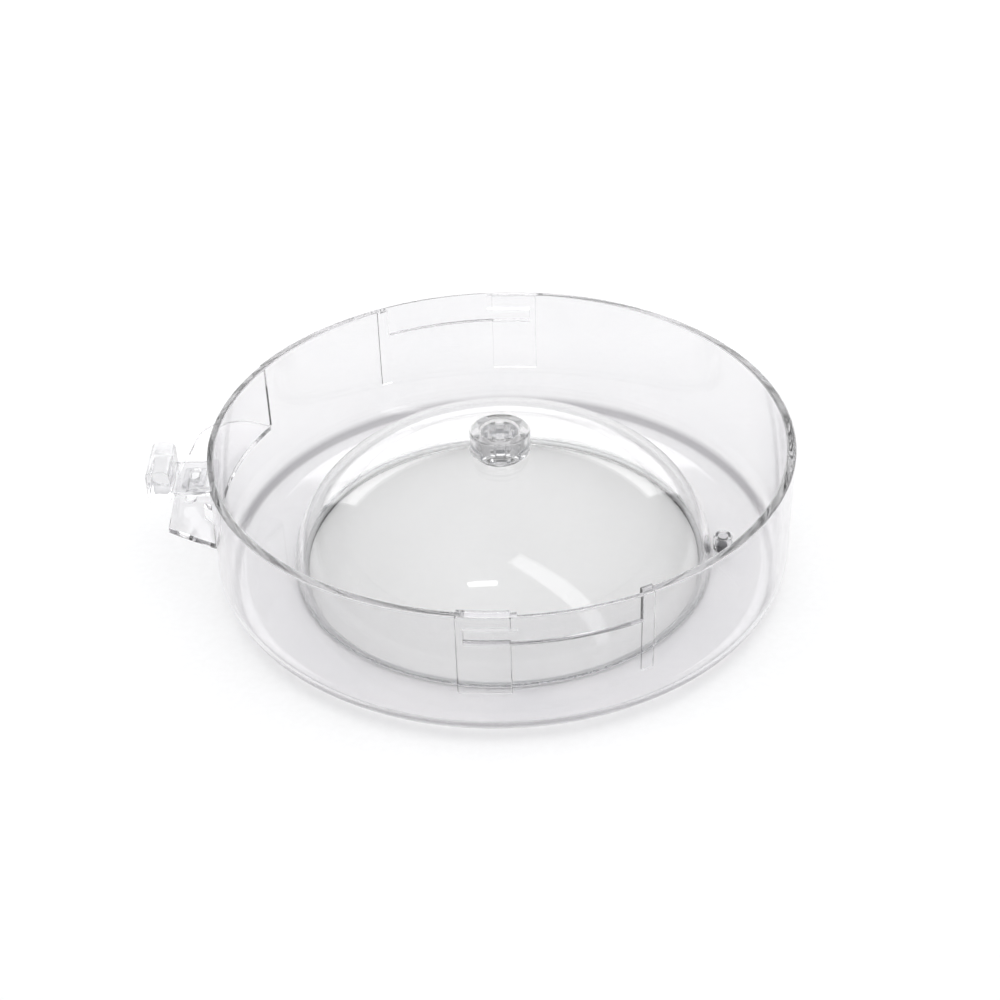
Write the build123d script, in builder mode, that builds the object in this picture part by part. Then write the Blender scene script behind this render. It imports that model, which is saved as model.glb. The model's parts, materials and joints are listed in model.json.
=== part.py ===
from build123d import *
import math
import os

# Humidity dome tray: a round clear tray with a raised dome standing in its floor, a rotary
# vent at the top of the dome, a drain stud beside it and a slide latch on a side ear.
# Millimetres. +Z is up, the origin is the centre of the round base on the surface it stands on,
# -X points at the ear and -Y at the bayonet pocket that faces forward.

# ---- tray ----
rim_radius = 90.0
wall_height = 45.2
wall_thickness = 2.8
floor_thickness = 2.0
lower_corner_radius = 10.0
inner_corner_radius = 7.2
rim_edge_radius = 0.6

# ---- dome ----
dome_radius = 66.2
dome_spring_height = 1.9            # where the foot ends and the curve starts
dome_rise = 38.6
dome_thickness = 2.2
dome_clearance = 0.3                # round the foot, so the dome lifts out

# ---- seat of the dome in the floor ----
seat_thickness = 0.9
seal_thickness = 0.5
seal_inner_radius = 63.0

# ---- bayonet pockets, given for the front one; the second is half a turn away ----
pocket_depth = 1.7
ledge_height = 35.2
lock_roof_height = 40.0
lock_start_angle = 262.4
entry_start_angle = 272.0
entry_end_angle = 295.0
pad_start_angle = 261.0
pad_end_angle = 270.9
stop_rib_end_angle = 297.7
rib_foot_height = 17.0
rib_stand = 1.0                     # how far pads and ribs stand off the wall at the rim

# ---- ear on the side wall ----
ear_top_height = 22.5
ear_thickness = 2.0
ear_start_angle = 149.5
ear_front_corner = (-102.9, -12.4)
ear_middle_corner = (-103.4, 16.0)
ear_back_corner = (-97.8, 53.0)
ear_back_round = 12.0
ear_front_bend = (-95.9, -16.8)
ear_front_root = (-86.0, -22.4)
keeper_window = ((-93.5, 0.5), (-88.6, -2.6), (-88.0, -11.3), (-92.3, -6.8))
relief_end_angle = 197.0
relief_depth = 0.8                  # the wall is thinner above the ear
pip_radius = 1.1
pip_length = 3.0

# ---- latch on the ear ----
latch_gap = 0.25
latch_plate_thickness = 1.5
latch_inner_x = -93.9
latch_front_y = 4.0
latch_back_y = 21.5
tab_width = 7.6
tab_inner_x = -103.9
tab_top_height = 32.0
tab_round = 2.2
tooth_length = 3.0
tooth_reach = 2.2
latch_travel = 10.0
foot_width = 3.0
foot_length = 6.0
foot_middle_y = 15.4
slot_centre_x = -98.0
slot_clearance = 0.3
clip_thickness = 1.3
clip_border = 2.0                   # the clip's width round the foot

# ---- rotary vent at the top of the dome ----
hub_radius = 9.3
hub_top_height = 46.8
hub_bore_radius = 6.2
crown_top_height = 40.6
knob_radius = 5.9
knob_sink = 0.7                     # the knob's top lies this far below the hub's top
knob_gap = 0.3
stem_radius = 2.03
stem_bore_radius = 2.1
stem_foot_height = 34.4
window_inner_radius = 3.0
window_outer_radius = 5.5
window_half_angle = 15.0
window_count = 4
key_mouth = 7.4
key_floor = 4.8
key_depth = 2.6
notch_wall = 0.9                    # left between the key socket and the air notches
shutter_radius = 7.0
shutter_top_height = 37.8
shutter_thickness = 1.2
vent_clip_radius = 4.2
vent_clip_thickness = 0.6
clip_slit_length = 1.4
clip_slit_middle_radius = 2.4
clip_slit_width = 0.5
clip_slit_count = 3
edge_break = 0.4                    # small chamfers on the knob and the plug

# ---- drain stud in the floor ----
stud_angle = 357.0
stud_distance = 69.9
stud_radius = 3.0
stud_top_height = 6.6
drain_radius = 1.65
plug_radius = 1.58
plug_top_height = 4.0
plug_head_radius = 2.4
plug_head_thickness = 0.8
plug_head_clearance = 0.1

# ---- derived ----
wall_inner_radius = rim_radius - wall_thickness
wall_middle_radius = rim_radius - wall_thickness / 2
seat_radius = dome_radius + dome_clearance
seat_opening_radius = seal_inner_radius - 0.5
dome_foot_height = seat_thickness + seal_thickness
dome_inner_radius = dome_radius - dome_thickness
dome_inner_rise = dome_rise - dome_thickness
ear_bottom_height = ear_top_height - ear_thickness
latch_bottom_height = ear_top_height + latch_gap
latch_top_height = latch_bottom_height + latch_plate_thickness
clip_top_height = ear_bottom_height - latch_gap
clip_bottom_height = clip_top_height - clip_thickness
knob_bottom_height = crown_top_height + knob_gap
knob_top_height = hub_top_height - knob_sink
shutter_bottom_height = shutter_top_height - shutter_thickness
window_pitch = 360 / window_count
key_taper = math.degrees(math.atan((key_mouth - key_floor) / 2 / key_depth))
crown_bottom_height = crown_top_height - dome_thickness
pocket_radius = wall_inner_radius + pocket_depth
pocket_inner_radius = wall_inner_radius - 2 * rib_stand
tab_length = latch_back_y - latch_front_y
tab_height = tab_top_height - ear_bottom_height
ear_back_root = (
    wall_middle_radius * math.cos(math.radians(ear_start_angle)),
    wall_middle_radius * math.sin(math.radians(ear_start_angle)),
)
stud_centre = (
    stud_distance * math.cos(math.radians(stud_angle)),
    stud_distance * math.sin(math.radians(stud_angle)),
)


def ring_sector(inner_radius, outer_radius, start_angle, end_angle):
    """The flat piece of a ring round the origin between two angles."""
    sweep_angle = end_angle - start_angle
    with BuildSketch(mode=Mode.PRIVATE) as sector:
        with BuildLine():
            outer_arc = CenterArc((0, 0), outer_radius, start_angle, sweep_angle)
            inner_arc = CenterArc((0, 0), inner_radius, start_angle, sweep_angle)
            Line(outer_arc @ 0, inner_arc @ 0)
            Line(outer_arc @ 1, inner_arc @ 1)
        make_face()
    return sector.sketch


def radial_plane(angle):
    """The upright plane through the Z axis at an angle, with its x pointing outwards."""
    turn = math.radians(angle)
    return Plane(
        origin=(0, 0, 0),
        x_dir=(math.cos(turn), math.sin(turn), 0),
        z_dir=(math.sin(turn), -math.cos(turn), 0),
    )


def wall_rib(start_angle, end_angle):
    """A rib on the inside of the wall that fades out downwards."""
    with BuildPart(mode=Mode.PRIVATE) as rib:
        with BuildSketch(radial_plane(start_angle)):
            with BuildLine():
                Polyline(
                    (wall_inner_radius, rib_foot_height),
                    (wall_middle_radius, rib_foot_height),
                    (wall_middle_radius, wall_height),
                    (wall_inner_radius - rib_stand, wall_height),
                    close=True,
                )
            make_face()
        revolve(axis=Axis.Z, revolution_arc=end_angle - start_angle)
    return rib.part


def vent_windows(turn):
    """The ring of vent windows, turned about the axis."""
    with BuildSketch(mode=Mode.PRIVATE) as windows:
        for number in range(window_count):
            middle = turn + number * window_pitch
            add(
                ring_sector(
                    window_inner_radius,
                    window_outer_radius,
                    middle - window_half_angle,
                    middle + window_half_angle,
                )
            )
    return windows.sketch


# Tray: floor ring, round wall, bayonet pockets, ear and drain stud in one moulding.
with BuildPart() as tray_shell:
    with BuildSketch(Plane.XZ):
        with BuildLine():
            Polyline(
                (seat_opening_radius, 0),
                (rim_radius, 0),
                (rim_radius, wall_height),
                (wall_inner_radius, wall_height),
                (wall_inner_radius, floor_thickness),
                (seat_radius, floor_thickness),
                (seat_radius, seat_thickness),
                (seat_opening_radius, seat_thickness),
                close=True,
            )
        make_face()
        fillet(vertices().group_by(Axis.X)[-1].sort_by(Axis.Y)[0], lower_corner_radius)
        fillet(vertices().group_by(Axis.X)[-2].sort_by(Axis.Y)[0], inner_corner_radius)
        fillet(vertices().group_by(Axis.Y)[-1], rim_edge_radius)
    revolve(axis=Axis.Z)

    # The pads and stop ribs of the bayonet, inside the wall, one set on each side.
    for side in (0, 180):
        add(wall_rib(pad_start_angle + side, pad_end_angle + side))
        add(wall_rib(entry_end_angle + side, stop_rib_end_angle + side))

    # The pockets: a lug drops in at the entry and turns back under the roof of the lock.
    with BuildSketch(Plane.XY.offset(ledge_height)):
        for side in (0, 180):
            add(
                ring_sector(
                    pocket_inner_radius,
                    pocket_radius,
                    entry_start_angle + side,
                    entry_end_angle + side,
                )
            )
    extrude(amount=wall_height - ledge_height, mode=Mode.SUBTRACT)
    with BuildSketch(Plane.XY.offset(ledge_height)):
        for side in (0, 180):
            add(
                ring_sector(
                    pocket_inner_radius,
                    pocket_radius,
                    lock_start_angle + side,
                    entry_start_angle + side,
                )
            )
    extrude(amount=lock_roof_height - ledge_height, mode=Mode.SUBTRACT)

    # The ear: a flat plate standing out of the wall, with a keeper window beside the wall
    # and the slot that the latch's foot runs in.
    with BuildSketch(Plane.XY.offset(ear_bottom_height)):
        with BuildLine():
            outer_edge = Polyline(ear_front_corner, ear_middle_corner, ear_back_corner)
            front_edge = ThreePointArc(ear_front_corner, ear_front_bend, ear_front_root)
            back_edge = Line(outer_edge @ 1, ear_back_root)
            Line(back_edge @ 1, front_edge @ 1)
        plate = make_face()
        fillet(plate.vertices().sort_by(Axis.Y)[-1], ear_back_round)
        Circle(wall_middle_radius, mode=Mode.SUBTRACT)
        with BuildLine():
            Polyline(*keeper_window, close=True)
        make_face(mode=Mode.SUBTRACT)
        with Locations((slot_centre_x, foot_middle_y - latch_travel / 2)):
            SlotOverall(
                foot_length + latch_travel + 4 * slot_clearance,
                foot_width + 2 * slot_clearance,
                rotation=90,
                mode=Mode.SUBTRACT,
            )
    extrude(amount=ear_thickness)

    # Above the ear the wall is thinner, and a small pip marks where that begins.
    with BuildSketch(Plane.XY.offset(ear_top_height)):
        add(
            ring_sector(
                rim_radius - relief_depth,
                rim_radius + relief_depth,
                ear_start_angle,
                relief_end_angle,
            )
        )
    extrude(amount=wall_height - ear_top_height, mode=Mode.SUBTRACT)
    with BuildSketch(Plane.XY.offset(wall_height - pip_length)):
        with PolarLocations(rim_radius - pip_radius / 2, 1, start_angle=ear_start_angle - 0.5):
            Circle(pip_radius)
    extrude(amount=pip_length)

    # The drain stud: an upright tube through the floor, counterbored below for the plug's head.
    with BuildSketch(Plane.XY.offset(floor_thickness / 2)):
        with Locations(stud_centre):
            Circle(stud_radius)
    extrude(amount=stud_top_height - floor_thickness / 2)
    with Locations((*stud_centre, 0)):
        Cylinder(
            drain_radius,
            stud_top_height,
            align=(Align.CENTER, Align.CENTER, Align.MIN),
            mode=Mode.SUBTRACT,
        )
        Cylinder(
            plug_head_radius + plug_head_clearance,
            plug_head_thickness + plug_head_clearance,
            align=(Align.CENTER, Align.CENTER, Align.MIN),
            mode=Mode.SUBTRACT,
        )

# Dome: a thin half ellipsoid on a short foot, with the hub of the vent on its crown.
with BuildPart() as centre_dome:
    with BuildSketch(Plane.XZ):
        with BuildLine():
            outer_curve = EllipticalCenterArc(
                (0, dome_spring_height), dome_radius, dome_rise, start_angle=0, arc_size=90
            )
            inner_curve = EllipticalCenterArc(
                (0, dome_spring_height), dome_inner_radius, dome_inner_rise, start_angle=0, arc_size=90
            )
            Polyline(
                outer_curve @ 0,
                (dome_radius, dome_foot_height),
                (dome_inner_radius, dome_foot_height),
                inner_curve @ 0,
            )
            Line(outer_curve @ 1, inner_curve @ 1)
        make_face()
    revolve(axis=Axis.Z)
    with BuildSketch(Plane.XY.offset(crown_bottom_height)):
        Circle(hub_radius)
    extrude(amount=hub_top_height - crown_bottom_height)
    fillet(faces().sort_by(Axis.Z)[-1].edges(), rim_edge_radius)
    with BuildSketch(Plane.XY.offset(crown_top_height)):
        Circle(hub_bore_radius)
    extrude(amount=hub_top_height - crown_top_height, mode=Mode.SUBTRACT)
    with BuildSketch(Plane.XY.offset(shutter_top_height)):
        Circle(stem_bore_radius)
        add(vent_windows(window_pitch / 2))
    extrude(amount=crown_top_height - shutter_top_height, mode=Mode.SUBTRACT)

# Seal: a flat ring under the dome's foot.
with BuildPart() as foot_seal:
    with BuildSketch(Plane.XY.offset(seat_thickness)):
        Circle(dome_radius)
        Circle(seal_inner_radius, mode=Mode.SUBTRACT)
    extrude(amount=seal_thickness)

# Vent knob: a plug with a key socket, air notches and a stem down through the crown.
with BuildPart() as vent_knob:
    with BuildSketch(Plane.XY.offset(knob_bottom_height)):
        Circle(knob_radius)
    extrude(amount=knob_top_height - knob_bottom_height)
    chamfer(faces().sort_by(Axis.Z)[-1].edges(), edge_break)
    with BuildSketch(Plane.XY.offset(stem_foot_height)):
        Circle(stem_radius)
    extrude(amount=knob_bottom_height - stem_foot_height)
    with BuildSketch(Plane.XY.offset(knob_top_height)):
        Rectangle(key_mouth, key_mouth)
    extrude(amount=-key_depth, taper=key_taper, mode=Mode.SUBTRACT)
    with BuildSketch(Plane.XY.offset(knob_bottom_height)):
        for number in range(window_count):
            middle = number * window_pitch
            add(
                ring_sector(
                    key_mouth / 2 + notch_wall,
                    hub_bore_radius,
                    middle - window_half_angle,
                    middle + window_half_angle,
                )
            )
    extrude(amount=knob_top_height - knob_bottom_height, mode=Mode.SUBTRACT)

# Vent shutter: the windowed disc on the stem, under the crown.
with BuildPart() as vent_shutter:
    with BuildSketch(Plane.XY.offset(shutter_bottom_height)):
        Circle(shutter_radius)
        Circle(stem_radius, mode=Mode.SUBTRACT)
        add(vent_windows(0), mode=Mode.SUBTRACT)
    extrude(amount=shutter_thickness)

# Vent clip: a push-on washer with three slits, which keeps the shutter on the stem.
with BuildPart() as vent_clip:
    with BuildSketch(Plane.XY.offset(shutter_bottom_height - vent_clip_thickness)):
        Circle(vent_clip_radius)
        Circle(stem_radius, mode=Mode.SUBTRACT)
        with PolarLocations(clip_slit_middle_radius, clip_slit_count):
            Rectangle(clip_slit_length, clip_slit_width, mode=Mode.SUBTRACT)
    extrude(amount=vent_clip_thickness)

# Latch slide: a plate on the ear with a locking tooth, an upright thumb tab and a foot below.
with BuildPart() as latch_slide:
    with BuildSketch(Plane.XY.offset(latch_bottom_height)):
        with BuildLine():
            Polyline(
                (tab_inner_x - tab_width / 2, latch_front_y),
                (latch_inner_x + tooth_reach, latch_front_y),
                (latch_inner_x + tooth_reach, latch_front_y + tooth_length),
                (latch_inner_x, latch_front_y + tooth_length),
                (latch_inner_x, latch_back_y),
                (tab_inner_x - tab_width / 2, latch_back_y),
                close=True,
            )
        make_face()
    extrude(amount=latch_plate_thickness)
    with BuildSketch(Plane.XZ.offset(-latch_back_y)):
        with Locations((tab_inner_x - tab_width / 2, ear_bottom_height + tab_height / 2)):
            RectangleRounded(tab_width, tab_height, tab_round)
    extrude(amount=tab_length)
    with BuildSketch(Plane.XY.offset(clip_bottom_height)):
        with Locations((slot_centre_x, foot_middle_y)):
            SlotOverall(foot_length, foot_width, rotation=90)
    extrude(amount=latch_bottom_height - clip_bottom_height)

# Latch clip: the retaining plate pressed on the foot, under the ear.
with BuildPart() as latch_clip:
    with BuildSketch(Plane.XY.offset(clip_bottom_height)):
        with Locations((slot_centre_x, foot_middle_y)):
            RectangleRounded(
                foot_width + 2 * clip_border,
                foot_length + 2 * clip_border,
                clip_border / 2,
            )
            SlotOverall(foot_length, foot_width, rotation=90, mode=Mode.SUBTRACT)
    extrude(amount=clip_thickness)

# Drain plug: a soft stopper with a flat head, pushed up into the stud from below.
with BuildPart() as drain_plug:
    with BuildSketch(Plane.XY):
        with Locations(stud_centre):
            Circle(plug_head_radius)
    extrude(amount=plug_head_thickness)
    with BuildSketch(Plane.XY.offset(plug_head_thickness)):
        with Locations(stud_centre):
            Circle(plug_radius)
    extrude(amount=plug_top_height - plug_head_thickness)
    chamfer(faces().sort_by(Axis.Z)[-1].edges(), edge_break)

os.makedirs("parts", exist_ok=True)
pieces = {
    "tray_shell": tray_shell,
    "centre_dome": centre_dome,
    "foot_seal": foot_seal,
    "vent_knob": vent_knob,
    "vent_shutter": vent_shutter,
    "vent_clip": vent_clip,
    "latch_slide": latch_slide,
    "latch_clip": latch_clip,
    "drain_plug": drain_plug,
}
for name, piece in pieces.items():
    piece.part.label = name
    export_step(piece.part, f"parts/{name}.step")
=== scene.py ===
import json
from math import acos, atan2, cos, degrees, pi, radians, sin

import bmesh
import bpy
from bpy.props import FloatProperty, FloatVectorProperty, IntProperty, PointerProperty
from mathutils import Matrix, Vector


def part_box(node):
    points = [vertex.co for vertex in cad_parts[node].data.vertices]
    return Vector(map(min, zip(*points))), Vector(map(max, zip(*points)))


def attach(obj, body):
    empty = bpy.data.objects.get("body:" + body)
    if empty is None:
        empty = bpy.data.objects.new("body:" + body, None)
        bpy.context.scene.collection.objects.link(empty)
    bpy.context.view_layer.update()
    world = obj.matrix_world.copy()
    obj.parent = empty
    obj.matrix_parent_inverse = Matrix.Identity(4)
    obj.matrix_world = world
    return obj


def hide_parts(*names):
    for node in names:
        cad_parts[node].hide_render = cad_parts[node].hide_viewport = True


bl_info = {
    "name": "Humidity Dome Tray",
    "version": (1, 0, 0),
    "blender": (4, 5, 0),
    "location": "3D View > Sidebar > Tray",
    "description": "Builds a clear moulded humidity dome tray round its mechanical frame",
    "category": "Add Mesh",
}

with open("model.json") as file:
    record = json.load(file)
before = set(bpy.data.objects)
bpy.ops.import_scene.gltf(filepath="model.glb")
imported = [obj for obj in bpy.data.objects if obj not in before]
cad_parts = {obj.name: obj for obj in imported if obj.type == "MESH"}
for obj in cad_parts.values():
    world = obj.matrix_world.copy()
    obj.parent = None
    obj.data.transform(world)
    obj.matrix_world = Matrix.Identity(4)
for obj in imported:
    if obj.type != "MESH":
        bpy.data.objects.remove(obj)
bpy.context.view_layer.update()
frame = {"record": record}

MM = 0.001
SHARP_ANGLE = radians(29)
CUTTER_REACH = 1 * MM

# Turns of the bayonet's parts, in degrees, for the front pocket. The other is half a turn away.
POCKET_TURNS = (262.4, 272.0, 295.13)
PAD_TURNS = (261.0, 270.9)
STOP_RIB_TURNS = (295.13, 297.7)

# The ear's outline, its window and its slot, in millimetres, and where it leaves the wall, in degrees.
EAR_FRONT = ((-86.0, -22.4), (-95.9, -16.8), (-102.9, -12.4))
EAR_MIDDLE = (-103.4, 16.0)
EAR_BACK = (-97.8, 53.0)
EAR_BACK_ROUNDING = 12.0
EAR_WINDOW = ((-93.5, 0.5), (-88.6, -2.6), (-88.0, -11.3), (-92.3, -6.8))
SLOT_CENTRE, SLOT_WIDTH, SLOT_LENGTH = (-98.0, 10.4), 3.6, 17.2
EAR_TURN, RELIEF_TURN, PIP_TURN = 149.5, 197.0, 149.0

# Tones that aren't in the settings.
# The ear's edge tint is a painted dark reflection on its front edge and window.
EAR_EDGE_PAINTED_REFLECTION = (0.12, 0.11, 0.12)
SHADOW_TINT = (0.985, 0.985, 0.985)
SKY_TINT = (0.99, 0.992, 1.0)
WALL_TINT = (0.96, 0.96, 0.96)

# Places taken from the frame.
TRAY_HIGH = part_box("tray_shell")[1]
DOME_LOW, DOME_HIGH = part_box("centre_dome")
SEAL_LOW, SEAL_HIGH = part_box("foot_seal")
KNOB_LOW, KNOB_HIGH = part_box("vent_knob")
SHUTTER_LOW, SHUTTER_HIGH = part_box("vent_shutter")
CLIP_LOW, CLIP_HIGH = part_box("vent_clip")
SLIDE_LOW, SLIDE_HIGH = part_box("latch_slide")
RETAINER_LOW, RETAINER_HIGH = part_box("latch_clip")
PLUG_LOW, PLUG_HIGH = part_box("drain_plug")
RIM_RADIUS = TRAY_HIGH[1]
RIM_HEIGHT = TRAY_HIGH[2]
DRAIN_X = (PLUG_LOW[0] + PLUG_HIGH[0]) / 2
DRAIN_Y = (PLUG_LOW[1] + PLUG_HIGH[1]) / 2
BODY_OF = {node: body for body, nodes in frame["record"]["behaviour"]["bodies"].items() for node in nodes}


# --- Shader trees ---


class Value:
    """A shader socket that Python sums and products add Math nodes to."""

    def __init__(self, finish, socket):
        self.finish = finish
        self.socket = socket

    def maths(self, operation, first, second):
        return self.finish.node("ShaderNodeMath", {"operation": operation}, {0: first, 1: second})

    def __add__(self, other):
        return self.maths("ADD", self, other)

    def __radd__(self, other):
        return self.maths("ADD", other, self)

    def __sub__(self, other):
        return self.maths("SUBTRACT", self, other)

    def __rsub__(self, other):
        return self.maths("SUBTRACT", other, self)

    def __mul__(self, other):
        return self.maths("MULTIPLY", self, other)

    def __rmul__(self, other):
        return self.maths("MULTIPLY", other, self)

    def __pow__(self, other):
        return self.maths("POWER", self, other)


class Finish:
    """A node tree for a material or a world, and the few nodes that this object's finishes share."""

    def __init__(self, owner):
        owner.use_nodes = True
        self.tree = owner.node_tree
        self.tree.nodes.clear()

    def node(self, kind, settings=None, sockets=None, output=0):
        made = self.tree.nodes.new(kind)
        for name, value in (settings or {}).items():
            setattr(made, name, value)
        for name, value in (sockets or {}).items():
            if isinstance(value, Value):
                self.tree.links.new(value.socket, made.inputs[name])
            else:
                made.inputs[name].default_value = value
        return Value(self, made.outputs[output]) if made.outputs else None

    def place(self):
        return self.node("ShaderNodeTexCoord", output="Object")

    def stretched(self, place, scale, turn=(0, 0, 0)):
        return self.node("ShaderNodeMapping", None, {"Vector": place, "Rotation": turn, "Scale": scale})

    def noise(self, place, scale, detail=2.0, roughness=0.5):
        sockets = {"Vector": place, "Scale": scale, "Detail": detail, "Roughness": roughness}
        return self.node("ShaderNodeTexNoise", None, sockets, output="Fac")

    def between(self, value, low, high, to_low=0.0, to_high=1.0):
        """to_low below low, to_high above high, and a smooth step between."""
        sockets = {"Value": value, "From Min": low, "From Max": high, "To Min": to_low, "To Max": to_high}
        return self.node("ShaderNodeMapRange", {"interpolation_type": "SMOOTHSTEP"}, sockets)

    def blend(self, factor, first, second):
        """A mix of two colours."""
        sockets = {0: factor, 6: first, 7: second}
        return self.node("ShaderNodeMix", {"data_type": "RGBA"}, sockets, output=2)

    def along(self, axis, place):
        return self.node("ShaderNodeSeparateXYZ", None, {0: place}, output=axis)

    def bump(self, height, strength, distance):
        sockets = {"Height": height, "Strength": strength, "Distance": distance}
        return self.node("ShaderNodeBump", None, sockets)


def colour(rgb):
    return (*rgb, 1.0)


def dimmed(tint, factor):
    return tuple(factor * part for part in tint)


def beyond(finish, place, near, far):
    """0 nearer to the upright axis than near, 1 further out than far."""
    across = finish.along("X", place)
    deep = finish.along("Y", place)
    return finish.between(across * across + deep * deep, near**2, far**2)


def ear_painted_reflection(finish, place):
    """Where a dark reflection is painted: 1 on the upright faces of the ear by its front edge and window,
    less further back, else 0.
    """
    upright = finish.along("Z", finish.node("ShaderNodeTexCoord", output="Normal"))
    side = 1.0 - finish.between(upright * upright, 0.1, 0.5)
    off_wall = beyond(finish, place, RIM_RADIUS + 0.3 * MM, RIM_RADIUS + 0.9 * MM)
    return side * off_wall * finish.between(finish.along("Y", place), -1.0 * MM, 6.0 * MM, 1.0, 0.3)


def corner_painted_shade(finish, place):
    """Where shade is painted: 1 on the tray's lower outer corner, else 0."""
    outside = beyond(finish, place, 84.4 * MM, 85.8 * MM)
    return outside * finish.between(finish.along("Z", place), 2.6 * MM, 5.0 * MM, 1.0, 0.0)


def clear_plastic(name, tint, deep_tint, gloss, marks, edge_tint=None, corner_shade_tint=None):
    """Clear polystyrene as it leaves a polished mould: slow flow waves, a faint peel, handling marks
    that catch the light, a trace of haze and a deeper tone seen edge on. A corner shade is the tray's: it
    paints shade on the lower outer corner and brings painted dark reflections on the ear's edges and the
    rubbed rim."""
    material = bpy.data.materials.new(name)
    finish = Finish(material)
    place = finish.place()
    flow = finish.noise(place, 26, detail=1)
    haze = finish.between(finish.noise(place, 55, detail=3), 0.5, 0.72)
    peel = finish.noise(place, 700, detail=1)
    hair = finish.stretched(place, (900, 45, 60), turn=(0.2, 0.5, 0.7))
    cross_hair = finish.stretched(place, (40, 1100, 70), turn=(0.5, 0.1, -0.6))
    scratches = finish.between(finish.noise(hair, 1.0, detail=0), 0.70, 0.76)
    crossed = finish.between(finish.noise(cross_hair, 1.0, detail=0), 0.71, 0.77)
    marked = (scratches + crossed) * marks
    roughness = gloss + 0.015 * haze + 0.05 * marked
    if corner_shade_tint is not None:
        height = finish.along("Z", place)
        roughness = roughness + 0.05 * finish.between(height, RIM_HEIGHT - 0.9 * MM, RIM_HEIGHT - 0.2 * MM)
    shade = finish.between(flow, 0.35, 0.65) * 0.7 + 0.3 * haze
    body = finish.blend(shade, colour(tint), colour(deep_tint))
    if edge_tint is not None:
        facing = finish.node("ShaderNodeLayerWeight", None, {"Blend": 0.5}, output="Facing")
        body = finish.blend(finish.between(facing, 0.55, 1.0), body, colour(edge_tint))
    if corner_shade_tint is not None:
        # Painted shade: the lower outer corner is darkened where the wall meets the floor.
        body = finish.blend(0.8 * corner_painted_shade(finish, place), body, colour(corner_shade_tint))
        # Painted dark reflection on the ear's front edge and window.
        body = finish.blend(0.7 * ear_painted_reflection(finish, place), body, colour(EAR_EDGE_PAINTED_REFLECTION))
    surface = finish.node(
        "ShaderNodeBsdfPrincipled",
        None,
        {
            "Base Color": body,
            "Roughness": roughness,
            "IOR": 1.5,
            "Transmission Weight": 1.0,
            "Normal": finish.bump(flow + 0.02 * peel - 0.05 * marked, 0.25, 0.15 * MM),
        },
    )
    see_through = finish.node("ShaderNodeBsdfTransparent", None, {"Color": colour(SHADOW_TINT)})
    shaded = finish.node("ShaderNodeLightPath", output="Is Shadow Ray")
    lit = finish.node("ShaderNodeMixShader", None, {0: shaded, 1: surface, 2: see_through})
    finish.node("ShaderNodeOutputMaterial", None, {"Surface": lit})
    return material


def moulded_soft(name, tint, deep_tint, gloss, grain, transmission=0.0, clearness=1.45):
    """Matt rubber, silicone or nylon with a fine mould grain and a little handling shine."""
    material = bpy.data.materials.new(name)
    finish = Finish(material)
    place = finish.place()
    cloud = finish.noise(place, 240, detail=3)
    fine = finish.noise(place, grain, detail=2)
    shine = finish.between(finish.noise(place, 90, detail=1), 0.45, 0.7)
    sockets = {
        "Base Color": finish.blend(finish.between(cloud, 0.35, 0.65), colour(tint), colour(deep_tint)),
        "Roughness": gloss + 0.12 * fine - 0.08 * shine,
        "IOR": clearness,
        "Transmission Weight": transmission,
        "Normal": finish.bump(fine, 0.35, 0.08 * MM),
    }
    surface = finish.node("ShaderNodeBsdfPrincipled", None, sockets)
    finish.node("ShaderNodeOutputMaterial", None, {"Surface": surface})
    return material


def studio_floor(name, tint):
    """Pale matt paper."""
    material = bpy.data.materials.new(name)
    finish = Finish(material)
    place = finish.place()
    fibre = finish.noise(place, 400, detail=3)
    darker = dimmed(tint, 0.985)
    sockets = {
        "Base Color": finish.blend(finish.between(fibre, 0.4, 0.6), colour(tint), colour(darker)),
        "Roughness": 0.75 + 0.1 * fibre,
        "Specular IOR Level": 0.2,
        "Normal": finish.bump(fibre, 0.1, 0.05 * MM),
    }
    surface = finish.node("ShaderNodeBsdfPrincipled", None, sockets)
    finish.node("ShaderNodeOutputMaterial", None, {"Surface": surface})
    return material


# --- Outlines ---


def rounded_outline(corners, steps=6):
    """Points round a closed outline of (x, y, rounding) corners, the rounded ones as arcs.

    Beside each arc a straight run keeps one point close by, so that smooth shading stays flat along it.
    """
    points = []
    count = len(corners)
    for index, (x, y, rounding) in enumerate(corners):
        here = Vector((x, y))
        if rounding == 0:
            points.append(here)
            continue
        to_last = Vector(corners[index - 1][:2]) - here
        to_next = Vector(corners[(index + 1) % count][:2]) - here
        half = to_last.angle(to_next) / 2
        reach = rounding * cos(half) / sin(half)
        start = here + to_last.normalized() * reach
        end = here + to_next.normalized() * reach
        centre = here + (to_last.normalized() + to_next.normalized()).normalized() * rounding / sin(half)
        hold = 0.08 * rounding
        if to_last.length > reach + 3 * hold:
            points.append(start + to_last.normalized() * hold)
        points.extend(arc_points(centre, start, end, steps))
        if to_next.length > reach + 3 * hold:
            points.append(end + to_next.normalized() * hold)
    return points


def arc_points(centre, start, end, steps):
    """Points along the shorter arc from start to end."""
    first = start - centre
    last = end - centre
    whole = first.angle(last)
    return [
        centre + (first * sin(whole * (1 - part / steps)) + last * sin(whole * part / steps)) / sin(whole)
        for part in range(steps + 1)
    ]


def arc_through(first, middle, last, steps):
    """Points along the arc through three points, ends included."""
    a, b, c = Vector(first), Vector(middle), Vector(last)
    d = 2 * (a.x * (b.y - c.y) + b.x * (c.y - a.y) + c.x * (a.y - b.y))
    far_a, far_b, far_c = a.length_squared, b.length_squared, c.length_squared
    centre_x = (far_a * (b.y - c.y) + far_b * (c.y - a.y) + far_c * (a.y - b.y)) / d
    centre_y = (far_a * (c.x - b.x) + far_b * (a.x - c.x) + far_c * (b.x - a.x)) / d
    return arc_points(Vector((centre_x, centre_y)), a, c, steps)


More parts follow.
